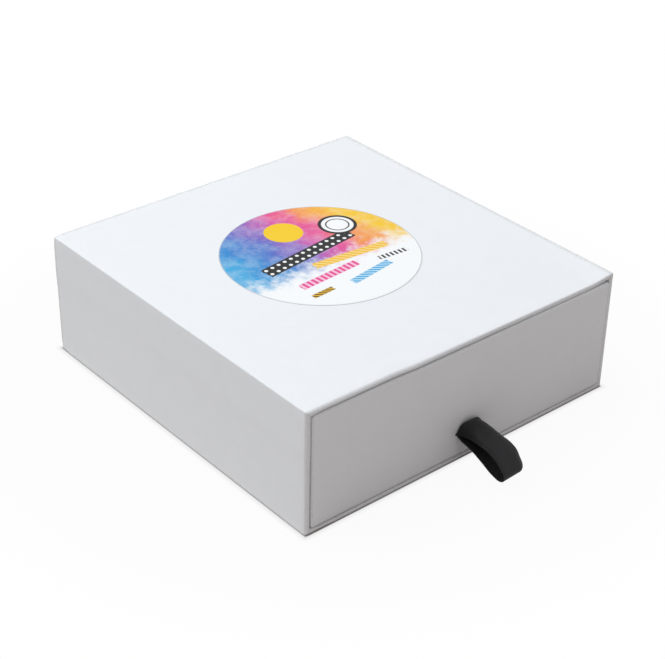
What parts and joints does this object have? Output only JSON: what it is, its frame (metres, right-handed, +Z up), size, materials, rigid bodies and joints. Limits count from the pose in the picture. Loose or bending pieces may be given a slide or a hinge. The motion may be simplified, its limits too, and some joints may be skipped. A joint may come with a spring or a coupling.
{
  "type": "drawer box",
  "caption": "Flat square paper-covered board box: an open-fronted sleeve with a sliding drawer pulled by a ribbon loop, and a round label on top.",
  "frame": {"origin": "middle of the sleeve's base, on the surface that the box stands on", "axes": "+X to the right across the drawer's front, +Y to the back of the box, +Z up; the drawer slides out along -Y"},
  "size_m": [0.158, 0.1932, 0.0541],
  "materials": {
    "greyboard": "raw grey chipboard",
    "gummed_tape": "matte kraft tape",
    "white_wrap_paper": "smooth white paper, faint satin",
    "lining_paper": "thin uncoated white paper",
    "label_paper": "coated label paper, printed",
    "black_ribbon": "woven satin ribbon, matte black"
  },
  "bodies": {
    "sleeve": {"sleeve_top_board": "greyboard", "sleeve_bottom_board": "greyboard", "sleeve_left_board": "greyboard", "sleeve_right_board": "greyboard", "sleeve_back_board": "greyboard", "sleeve_corner_tape": "gummed_tape", "sleeve_wrap": "white_wrap_paper", "sleeve_wrap_underside": "white_wrap_paper", "sleeve_back_sheet": "white_wrap_paper", "sleeve_lining": "lining_paper", "top_label": "label_paper"},
    "drawer": {"drawer_floor_board": "greyboard", "drawer_front_board": "greyboard", "drawer_back_board": "greyboard", "drawer_left_board": "greyboard", "drawer_right_board": "greyboard", "drawer_corner_tape": "gummed_tape", "drawer_wrap": "white_wrap_paper", "drawer_wall_lining": "lining_paper", "drawer_floor_sheet": "white_wrap_paper", "ribbon_tails": "black_ribbon", "ribbon_patch": "white_wrap_paper"},
    "ribbon_pull": {"ribbon_loop": "black_ribbon"}
  },
  "joints": [
    {"name": "drawer_slide", "type": "slide", "parent": "sleeve", "child": "drawer", "axis": [0, -1, 0], "range_m": [0, 0.165]},
    {"name": "ribbon_bend", "type": "hinge", "parent": "drawer", "child": "ribbon_pull", "pos_m": [0.0015, -0.0825, 0.0126], "axis": [-1, 0, 0], "range_deg": [-7, 45], "stiffness_Nm_per_rad": 0.002, "springref_deg": 0.53}
  ]
}
